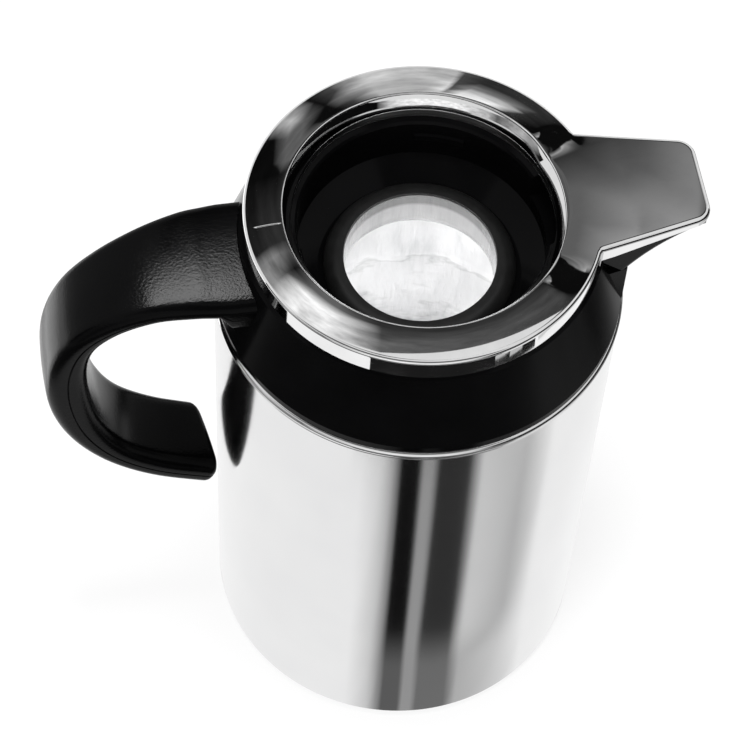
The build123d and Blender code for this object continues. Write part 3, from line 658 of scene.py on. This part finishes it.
# ---------------------------------------------------------------- handle
# Centre line from the root to the free end: distance out from the casing's side, height above
# the casing's rim, heading in the XZ plane, width and thickness
HANDLE_STATIONS = (
    (1.0, 22.5, 180.0, 40.6, 8.0),
    (9.5, 22.3, 186.0, 38.6, 8.0),
    (21.5, 19.4, 202.0, 34.6, 8.3),
    (34.2, 12.2, 220.0, 31.2, 9.2),
    (43.7, 1.8, 240.0, 29.2, 10.9),
    (48.5, -13.0, 261.0, 28.2, 13.4),
    (49.0, -31.0, 274.0, 28.0, 14.8),
    (45.2, -48.8, 292.0, 28.0, 13.7),
    (36.5, -64.9, 311.0, 28.0, 12.0),
    (22.9, -77.2, 326.0, 28.0, 12.0),
    (5.4, -86.2, 337.0, 27.5, 12.4),
)
HANDLE_STEPS = 7
# The section's corner radius, as a fixed part and a share of its thickness, how far its faces
# are crowned, and the half width and depth of the groove where the two shells meet
HANDLE_CORNER = (2.7, 0.12)
HANDLE_CROWN = 0.8
HANDLE_SEAM = (0.35, 0.3)
# The largest corner radius as a share of the thickness and of the half width, and the steps
# across half a face and round a corner
CORNER_LIMITS = (0.45, 0.9)
FACE_STEPS = 8
CORNER_STEPS = 7
# The rounding of the free end: its length, and how far the sides and the faces draw in
HANDLE_END = (3.2, 2.6, 2.6)
HANDLE_END_STEPS = 12
# The slant of the free end: the stretch over which it fades, its slope, and the place across
# the grip where the length stays as it is
HANDLE_SLANT = (26.0, 0.19, 2.5)
HANDLE_SHARP_ANGLE = 40.0
# The root widens from the first station to the jug: distance from the axis, lowest and highest
# level above the rim, half width
HANDLE_ROOT = (
    (65.0, 17.2, 26.5, 20.4),
    (64.2, 15.8, 26.5, 20.5),
    (63.2, 14.2, 26.5, 20.6),
    (62.3, 12.8, 26.5, 20.7),
)
HANDLE_ROOT_CORNER = 3.5
HANDLE_FIT = 0.15
# Height above the rim and radius of the shoulder that the root wraps round
SHOULDER_PROFILE = ((0.0, 64.7), (3.0, 64.7), (28.8, 56.7))


def smooth_run(stations, steps):
    """A smooth curve through all stations, as plain tuples of the same kind."""
    before = tuple(2 * a - b for a, b in zip(stations[0], stations[1]))
    after = tuple(2 * a - b for a, b in zip(stations[-1], stations[-2]))
    run = [before, *stations, after]
    out = []
    for i in range(1, len(run) - 2):
        for k in range(steps):
            t = k / steps
            shares = (
                -0.5 * t + t * t - 0.5 * t**3,
                1 - 2.5 * t * t + 1.5 * t**3,
                0.5 * t + 2 * t * t - 1.5 * t**3,
                -0.5 * t * t + 0.5 * t**3,
            )
            four = run[i - 1 : i + 3]
            out.append(tuple(sum(w * p[n] for w, p in zip(shares, four)) for n in range(5)))
    out.append(stations[-1])
    return out


def handle_section(half_width, low, high, corner):
    """A rounded, slightly crowned section with a parting groove half way up each side."""
    corner = min(corner, CORNER_LIMITS[0] * (high - low), CORNER_LIMITS[1] * half_width)
    middle = (low + high) / 2
    gap, depth = HANDLE_SEAM
    flat = half_width - corner
    face = [flat * i / FACE_STEPS for i in range(FACE_STEPS + 1)]
    right = [(across, high) for across in face]
    right += arc((flat, high - corner), corner, 90, 0, CORNER_STEPS)[1:]
    right += [(half_width, middle + gap), (half_width - depth, middle), (half_width, middle - gap)]
    right += arc((flat, low + corner), corner, 0, -90, CORNER_STEPS)[:-1]
    right += [(across, low) for across in face[::-1]]
    crowned = []
    for across, out in right:
        drop = HANDLE_CROWN * (across / half_width) ** 2
        crowned.append((across, out - drop * (out - middle) / (high - middle)))
    left = [(-across, out) for across, out in crowned[1:-1]]
    return crowned + left[::-1]


def jug_radius(level):
    """Radius of the shoulder or ring that the root wraps round, by height above the rim."""
    if level >= LEDGE - RIM:
        return RING_RADIUS + HANDLE_FIT
    for (z0, r0), (z1, r1) in zip(SHOULDER_PROFILE, SHOULDER_PROFILE[1:]):
        if level <= z1:
            return r0 + (r1 - r0) * (level - z0) / (z1 - z0) + HANDLE_FIT
    return SHOULDER_PROFILE[-1][1] + HANDLE_FIT


def root_rings():
    """Sections of the root: two on the shoulder, which close its end, then on to the grip."""
    _, low, high, half_width = HANDLE_ROOT[-1]
    section = handle_section(half_width, low, high, HANDLE_ROOT_CORNER)
    middle = (low + high) / 2
    rings = []
    for share in (0.5, 1.0):
        ring = []
        for across, level in section:
            y, z = across * share, middle + (level - middle) * share
            ring.append((-sqrt(jug_radius(z) ** 2 - y * y), y, RIM + z))
        rings.append(ring)
    for reach, low, high, half_width in HANDLE_ROOT[::-1]:
        section = handle_section(half_width, low, high, HANDLE_ROOT_CORNER)
        rings.append([(-reach, y, RIM + z) for y, z in section])
    return rings


def grip_stations():
    """Stations of the grip with what is left of its length, closer together at the free end."""
    run = smooth_run(HANDLE_STATIONS, HANDLE_STEPS)
    tail = [0.0]
    for a, b in zip(run[::-1], run[-2::-1]):
        tail.append(tail[-1] + hypot(a[0] - b[0], a[1] - b[1]))
    tail = tail[::-1]
    length = HANDLE_END[0]
    stations = [place for place in zip(run, tail) if place[1] > length]
    for i in range(HANDLE_END_STEPS + 1):
        left = length * (1 - sin(pi / 2 * i / HANDLE_END_STEPS))
        index = max(k for k in range(len(run)) if tail[k] >= left)
        other = min(index + 1, len(run) - 1)
        gap = tail[index] - tail[other]
        share = (tail[index] - left) / gap if gap else 0.0
        between = tuple(a + (b - a) * share for a, b in zip(run[index], run[other]))
        stations.append((between, left))
    return stations


def grip_ring(station, left):
    """The section of the grip at a station, drawn in and slanted close to the free end."""
    outward, height, heading, width, thickness = station
    length, side, face = HANDLE_END
    fade, slope, pivot = HANDLE_SLANT
    shrink = 1 - sqrt(max(0.0, 1 - max(0.0, 1 - left / length) ** 2))
    half_width = width / 2 - side * shrink
    half = thickness / 2 - face * shrink
    corner = HANDLE_CORNER[0] + HANDLE_CORNER[1] * thickness
    slant = slope * (1 - smooth_step(left, 0.0, fade))
    turn = radians(heading)
    ring = []
    for across, out in handle_section(half_width, -half, half, corner):
        ahead = (pivot - across) * slant
        x = -CASING_RADIUS - outward + out * sin(turn) + ahead * cos(turn)
        ring.append((x, across, RIM + height - out * cos(turn) + ahead * sin(turn)))
    return ring


def make_handle():
    """The grip as one smooth tongue, rounded at its free end and wrapped round the shoulder."""
    rings = root_rings() + [grip_ring(*place) for place in grip_stations()]
    count = len(rings[0])
    points = [point for ring in rings for point in ring]
    faces = tube_faces(len(rings), count, False, True)
    faces.append(tuple(range(count))[::-1])
    last = (len(rings) - 1) * count
    faces.append(tuple(range(last, last + count)))
    piece = new_piece("handle_skin", points, faces, HANDLE_SHARP_ANGLE)
    shells = ("handle_outer_shell", "handle_inner_shell")
    finish_piece(piece, MATERIALS["handle_plastic"], "handle_plastic", *shells)


# ---------------------------------------------------------------- stage
WHITE = (1.0, 1.0, 1.0, 1.0)
FLOOR_REACH = 3000.0
FLOOR_LEVEL = -0.2
FLOOR_GREY = 0.8
ROOM_GREY = 0.8
# How much of the floor's own shading the camera sees
FLOOR_SHADE = 0.25


def mixed(tree, share, first, second):
    """Two shaders mixed by a fixed share or by a socket."""
    node = tree.nodes.new("ShaderNodeMixShader")
    if isinstance(share, float):
        put(node, {"Fac": share})
    else:
        tree.links.new(share, node.inputs["Fac"])
    tree.links.new(first, node.inputs[1])
    tree.links.new(second, node.inputs[2])
    return node.outputs[0]


def bare_material(name):
    """A material with its node tree, which holds only the output, and the output's socket."""
    material = bpy.data.materials.new(name)
    material.use_nodes = True
    tree = material.node_tree
    tree.nodes.clear()
    return material, tree, tree.nodes.new("ShaderNodeOutputMaterial").inputs["Surface"]


def floor_material():
    """A floor that the camera sees as white with a soft shadow, and metal sees as white."""
    material, tree, surface = bare_material("floor")
    path = tree.nodes.new("ShaderNodeLightPath").outputs
    diffuse = tree.nodes.new("ShaderNodeBsdfDiffuse")
    put(diffuse, {"Color": (FLOOR_GREY, FLOOR_GREY, FLOOR_GREY, 1.0)})
    glow = tree.nodes.new("ShaderNodeEmission")
    put(glow, {"Color": WHITE})
    mirror = computed(tree, "MAXIMUM", path["Is Glossy Ray"], path["Is Transmission Ray"])
    seen = mixed(tree, FLOOR_SHADE, glow.outputs[0], diffuse.outputs[0])
    bounced = mixed(tree, mirror, diffuse.outputs[0], glow.outputs[0])
    tree.links.new(mixed(tree, path["Is Camera Ray"], bounced, seen), surface)
    return material


def card_material(name, mottle):
    """The finish of cards that only reflections see: the card's own shade, a little mottled."""
    material, tree, surface = bare_material(name)
    glow = tree.nodes.new("ShaderNodeEmission")
    shade = tree.nodes.new("ShaderNodeAttribute")
    shade.attribute_name = "shade"
    tree.links.new(shade.outputs["Color"], glow.inputs["Color"])
    place = tree.nodes.new("ShaderNodeTexCoord").outputs["Object"]
    patches = noise(tree, place, 16.0, 4.0, 0.6)
    tree.links.new(spread(tree, patches, 1 - mottle, 1 + mottle, 0.3, 0.7), glow.inputs["Strength"])
    tree.links.new(glow.outputs[0], surface)
    return material


CARD_FINISH = card_material("reflected_card", 0.02)
MOTTLED_FINISH = card_material("reflected_room", 0.28)


def graded_card(name, points, faces, shades, finish=CARD_FINISH):
    """A card that only reflections see, with a brightness at each of its points."""
    card = new_piece(name, points, faces)
    colours = card.data.color_attributes.new("shade", "FLOAT_COLOR", "POINT")
    for item, shade in zip(colours.data, shades):
        item.color = (shade, shade, shade, 1.0)
    card.data.materials.append(finish)
    card.visible_camera = False
    card.visible_diffuse = False
    card.visible_shadow = False
    card.visible_transmission = False


def graded_rows(name, rows, wrap=False, finish=CARD_FINISH):
    """A card from rows of points, each with its brightness."""
    points = [point for row in rows for point, shade in row]
    shades = [shade for row in rows for point, shade in row]
    graded_card(name, points, tube_faces(len(rows), len(rows[0]), wrap, False), shades, finish)


def below_white(*stops):
    """Brightnesses that lie the given numbers of photographic stops below white."""
    return [0.5**stop for stop in stops]


# Bands on the floor, which the steel casing reflects as two dark streaks with a grey one
# between them: angle round the casing from its front, stops below white at the last two of the
# runs, which are measured from the casing, and at the first two
STREAK_RUNS = (0.0, 20.0, 34.0, 122.0)
STREAK_STOPS = (
    (-60, 0, 0),
    (-12, 0, 0),
    (-5, 0.5, 0.5),
    (-2, 1.5, 1.5),
    (0, 8, 3),
    (5, 8, 3),
    (6.5, 1.5, 1.5),
    (9, 1.5, 1.5),
    (11, 5, 2.5),
    (20, 5, 2.5),
    (24, 0.5, 1),
    (38, 1, 0.5),
    (48, 0, 0),
    (75, 0, 0),
)
# The front is where the camera looks from, seen from above.
FRONT_TURN = -14.0
CARD_LIFT = 0.6

# Patches of floor further out, which only the skirt of the top ring reflects, each lying over
# the ones before it: first and last angle from the front, nearest and furthest reach, brightness
PATCH_STEPS = 12
RING_PATCHES = (
    (-22.5, 50.0, 184.0, 260.0, 0.012),
    (50.0, 74.0, 184.0, 191.0, 0.012),
    (48.0, 54.0, 190.0, 212.0, 0.6),
    (57.0, 65.0, 187.5, 191.5, 0.55),
    (30.0, 33.0, 196.0, 208.0, 0.10),
    (76.0, 150.0, 184.0, 260.0, 0.66),
)

# The floor further out, which the sloping shoulder reflects: angle from the front, brightness
# at the second reach and at the third. The first and the last are as bright as the floor.
FAR_FLOOR_REACHES = (232.0, 300.0, 700.0, 1000.0)
FAR_FLOOR_STEP = 10.0
FAR_FLOOR_STOPS = (
    (-180.0, 0.20, 0.20),
    (-150.0, 0.20, 0.60),
    (-128.0, 0.60, 3.00),
    (-90.0, 0.60, 3.00),
    (-72.0, 0.20, 0.30),
    (-60.0, 0.12, 0.12),
    (20.0, 0.12, 0.12),
    (48.0, 0.30, 0.12),
    (64.0, 0.90, 0.60),
    (78.0, 0.60, 0.40),
    (100.0, 0.08, 0.12),
    (135.0, 0.12, 0.20),
    (180.0, 0.20, 0.20),
)


def from_front(x, y, height):
    """A point given in the frame that faces the camera, turned into the jug's frame."""
    swing = radians(FRONT_TURN)
    return (x * cos(swing) - y * sin(swing), x * sin(swing) + y * cos(swing), height)


def make_streaks():
    """Graded floor bands, whose reflections stand upright in the casing."""
    rows = []
    for angle, shade, foot in STREAK_STOPS:
        turn = radians(angle)
        row = []
        for run, brightness in zip(STREAK_RUNS, below_white(foot, foot, shade, shade)):
            x = CASING_RADIUS * sin(turn) + run * sin(2 * turn)
            y = -CASING_RADIUS * cos(turn) - run * cos(2 * turn)
            row.append((from_front(x, y, CARD_LIFT), brightness))
        rows.append(row)
    graded_rows("floor_bands", rows)


def make_ring_patches():
    """Patches of floor between two angles and two reaches."""
    for index, (first, last, near, far, brightness) in enumerate(RING_PATCHES):
        span = (last - first) / PATCH_STEPS
        turns = [radians(first + span * i) for i in range(PATCH_STEPS + 1)]
        lift = CARD_LIFT * (1 + index)
        corners = [from_front(near * sin(t), -near * cos(t), lift) for t in turns]
        corners += [from_front(far * sin(t), -far * cos(t), lift) for t in reversed(turns)]
        shades = [brightness] * len(corners)
        graded_card("ring_patch_%d" % index, corners, [tuple(range(len(corners)))], shades)


def make_far_floor():
    """A broad dark band of floor round the jug."""
    rows = []
    for (first, near0, far0), (last, near1, far1) in zip(FAR_FLOOR_STOPS, FAR_FLOOR_STOPS[1:]):
        steps = max(1, int((last - first) / FAR_FLOOR_STEP))
        for share in [i / steps for i in range(steps)]:
            turn = radians(first + (last - first) * share)
            near, far = near0 + (near1 - near0) * share, far0 + (far1 - far0) * share
            row = []
            for reach, shade in zip(FAR_FLOOR_REACHES, (1.0, near, far, 1.0)):
                x, y = reach * sin(turn), -reach * cos(turn)
                row.append((from_front(x, y, CARD_LIFT / 2), shade))
            rows.append(row)
    graded_rows("far_floor", rows, wrap=True)


# A board of wedges above and behind the jug, which only polished faces reflect. It faces the
# jug from the direction that a level face mirrors to the camera, and its wedges meet there:
# angle from the board's foot, then the stops below white at the first two reaches, at the third
# and at the last two, which the ring's crown shows from its lip outwards
BOARD_DISTANCE = 700.0
BOARD_ELEVATION = 55.0
BOARD_REACHES = (1.0, 130.0, 215.0, 310.0, 410.0)
BOARD_TURN = -CAMERA_YAW
BOARD_STOPS = (
    (-36, 8, 8, 8),
    (-28, 4, 2, 4),
    (-18, 1, 1, 0.5),
    (2, 1, 1, 1),
    (8, 0, 0.5, 1),
    (10, 3, 4, 4),
    (16, 0, 2, 5),
    (29, 0, 2, 5),
    (36, 5, 5, 5),
    (46, 8, 8, 8),
    (66, 8, 8, 8),
    (70, 3, 8, 3),
    (82, 3, 8, 1),
    (94, 3, 8, 1),
    (98, 3, 8, 8),
    (110, 3, 8, 8),
    (114, 8, 8, 8),
    (122, 5, 4, 4),
    (190, 5, 4, 3),
    (210, 3, 0, 0),
    (224, 3, 0, 0),
    (236, 8, 4, 2),
    (245, 3, 2, 2),
    (250, 5, 5, 6),
    (284, 8, 8, 8),
    (290, 3, 8, 8),
    (303, 3, 3, 8),
    (313, 8, 3, 1),
)

# A smaller card in front of the board, which the spout cover reflects: angle on the board, then
# the stops below white that the flat shows at its root, half way out and at its tip, and those
# that its rolled edge shows, with a black gap before it
SPOUT_CARD_DISTANCE = 679.0
SPOUT_CARD_REACHES = (90.0, 112.0, 138.0, 163.0, 171.0, 250.0, 262.0, 330.0)
SPOUT_CARD_GAP = 8
SPOUT_CARD_STOPS = (
    (64, 5, 4, 3, 6),
    (76, 3, 3, 2, 1),
    (84, 3, 2, 2, 1),
    (90, 3, 2, 1.5, 8),
    (96, 3, 1.5, 1, 8),
    (99, 3, 1.5, 3, 8),
    (106, 3, 2, 4, 8),
    (111, 4, 3, 3, 8),
)

# A band round the horizon, which only the bevel inside the ring reflects: compass angle
# clockwise from behind the jug as the camera sees it, stops below white
HORIZON_REACH = 900.0
HORIZON_LEVELS = (20.0, 480.0)
HORIZON_STOPS = (
    (60, 8),
    (142, 8),
    (152, 0.5),
    (165, 0),
    (195, 0),
    (220, 1),
    (226, 3),
    (246, 1),
    (252, 2),
    (258, 6),
    (264, 8),
)

# A grey patch where the photographer stood: distance, compass angles, elevations, brightness
WATCHER = (1100.0, (128.0, 250.0), (36.0, 72.0), 0.15)
WATCHER_STEPS = 8


def clockwise(x, y, z):
    """A point in the camera's compass frame, with Y away from the camera, in the jug's frame."""
    swing = radians(BOARD_TURN)
    return Vector((x * cos(swing) - y * sin(swing), x * sin(swing) + y * cos(swing), z))


def board_point(angle, reach, distance):
    """A place on the board, or on a plane that is parallel to it and nearer to the jug."""
    level, turn = radians(BOARD_ELEVATION), radians(angle)
    share = distance / BOARD_DISTANCE
    middle = clockwise(0, cos(level), sin(level)) * distance
    foot = clockwise(0, sin(level), -cos(level))
    right = clockwise(1, 0, 0)
    ray = foot * cos(turn) + right * sin(turn)
    return Vector((0, 0, RIM + RING_LEVEL)) + middle + ray * reach * share


def make_board():
    """The board that the crown of the top ring reflects."""
    rows = []
    for angle, near, halfway, far in BOARD_STOPS:
        points = [board_point(angle, reach, BOARD_DISTANCE) for reach in BOARD_REACHES]
        rows.append(list(zip(points, below_white(near, near, halfway, far, far))))
    graded_rows("board", rows, True, MOTTLED_FINISH)


def make_spout_card():
    """The card that the spout cover reflects."""
    rows = []
    gap = SPOUT_CARD_GAP
    for angle, root, halfway, tip, edge in SPOUT_CARD_STOPS:
        points = [board_point(angle, reach, SPOUT_CARD_DISTANCE) for reach in SPOUT_CARD_REACHES]
        shades = below_white(root, root, halfway, tip, gap, gap, edge, edge)
        rows.append(list(zip(points, shades)))
    graded_rows("spout_card", rows)


def make_horizon():
    """The band that the bevel inside the ring reflects."""
    rows = []
    for angle, stop in HORIZON_STOPS:
        x, y = HORIZON_REACH * sin(radians(angle)), HORIZON_REACH * cos(radians(angle))
        shade = below_white(stop)[0]
        rows.append([(clockwise(x, y, level), shade) for level in HORIZON_LEVELS])
    graded_rows("horizon", rows, False, MOTTLED_FINISH)


def make_watcher():
    """The grey patch where the photographer stood."""
    distance, turns, levels, shade = WATCHER
    rows = []
    for i in range(WATCHER_STEPS + 1):
        turn = radians(turns[0] + (turns[1] - turns[0]) * i / WATCHER_STEPS)
        row = []
        for level in (radians(levels[0]), radians(levels[1])):
            x, y = distance * cos(level) * sin(turn), distance * cos(level) * cos(turn)
            row.append((clockwise(x, y, RIM + distance * sin(level)), shade))
        rows.append(row)
    graded_rows("watcher", rows)


def make_world():
    """White to the camera, a plain grey studio for everything else."""
    world = bpy.data.worlds.new("studio")
    bpy.context.scene.world = world
    world.use_nodes = True
    tree = world.node_tree
    tree.nodes.clear()
    output = tree.nodes.new("ShaderNodeOutputWorld")
    path = tree.nodes.new("ShaderNodeLightPath").outputs
    seen = tree.nodes.new("ShaderNodeBackground")
    put(seen, {"Color": WHITE})
    room = tree.nodes.new("ShaderNodeBackground")
    put(room, {"Color": (ROOM_GREY, ROOM_GREY, ROOM_GREY, 1.0)})
    final = mixed(tree, path["Is Camera Ray"], room.outputs[0], seen.outputs[0])
    tree.links.new(final, output.inputs["Surface"])


# Rectangular lamps for the whole scene, for the flask and for the handle: name, place, the
# point that it faces, width and height, power
ROOM_LAMPS = (
    ("key", (-500, -700, 1100), (0, 0, 120), (500, 500), 9.0),
    ("overhead", (0, 0, 1500), (0, 0, 0), (350, 350), 14.0),
)
FLASK_LAMP = ("flask_light", (0, -150, 1200), (0, 0, 100), (300, 300), 3.0)
HANDLE_LAMPS = (
    ("handle_light", (-190, 184, RIM + 416), (-190, -8, RIM + 26), (360, 90), 4.5),
    ("handle_side", (-320, 150, 2), (-320, 150, 102), (200, 250), 0.31),
)
# Small glows inside the flask: name, level, radius, power
FLASK_GLOWS = (
    ("flask_glow_low", 0.5 * RIM, 12.0, 0.046),
    ("flask_glow_high", RIM - 20, 8.0, 0.066),
)


def new_lamp(name, kind, place, power, only=()):
    """A lamp for the whole scene, or for the objects given only."""
    data = bpy.data.lights.new(name, kind)
    data.energy = power
    lamp = new_object(name, data)
    lamp.location = Vector(place) * MM
    lamp.visible_glossy = False
    if only:
        lit = bpy.data.collections.new(name + "_lit")
        for item in only:
            lit.objects.link(item)
        lamp.light_linking.receiver_collection = lit
    return lamp


def make_lamp(name, place, aim, size, power, only=()):
    """A rectangular lamp, which reflections don't show."""
    lamp = new_lamp(name, "AREA", place, power, only)
    lamp.data.shape = "RECTANGLE"
    lamp.data.size = size[0] * MM
    lamp.data.size_y = size[1] * MM
    look = Vector(aim) * MM - lamp.location
    lamp.rotation_euler = look.to_track_quat("-Z", "Y").to_euler()
    return lamp


def make_gloss(lamp):
    """Turns a lamp into one that only reflections show."""
    lamp.visible_glossy = True
    lamp.visible_diffuse = False


def make_glow(name, level, radius, power, only):
    """A small round lamp on the jug's axis, which nothing shows."""
    lamp = new_lamp(name, "POINT", (0, 0, level), power, only)
    lamp.data.shadow_soft_size = radius * MM
    lamp.visible_camera = False


def make_floor():
    """A plain pale floor."""
    corners = ((-1, -1), (1, -1), (1, 1), (-1, 1))
    points = [(x * FLOOR_REACH, y * FLOOR_REACH, FLOOR_LEVEL) for x, y in corners]
    floor = new_piece("floor", points, [(0, 1, 2, 3)])
    floor.data.materials.append(floor_material())


def make_stage():
    """Floor, reflected cards, lamps and world."""
    make_floor()
    make_streaks()
    make_ring_patches()
    make_far_floor()
    make_board()
    make_spout_card()
    make_horizon()
    make_watcher()
    for lamp in ROOM_LAMPS:
        make_lamp(*lamp)
    flask = [nodes["flask_inner_wall"]]
    make_lamp(*FLASK_LAMP, flask)
    for glow in FLASK_GLOWS:
        make_glow(*glow, flask)
    handle = [bpy.data.objects["handle_skin"]]
    for lamp in HANDLE_LAMPS:
        make_gloss(make_lamp(*lamp, handle))
    make_world()


make_camera()
dress_nodes()
make_casing()
make_top_ring()
make_handle()
make_stage()
bpy.context.scene.view_settings.view_transform = "Standard"
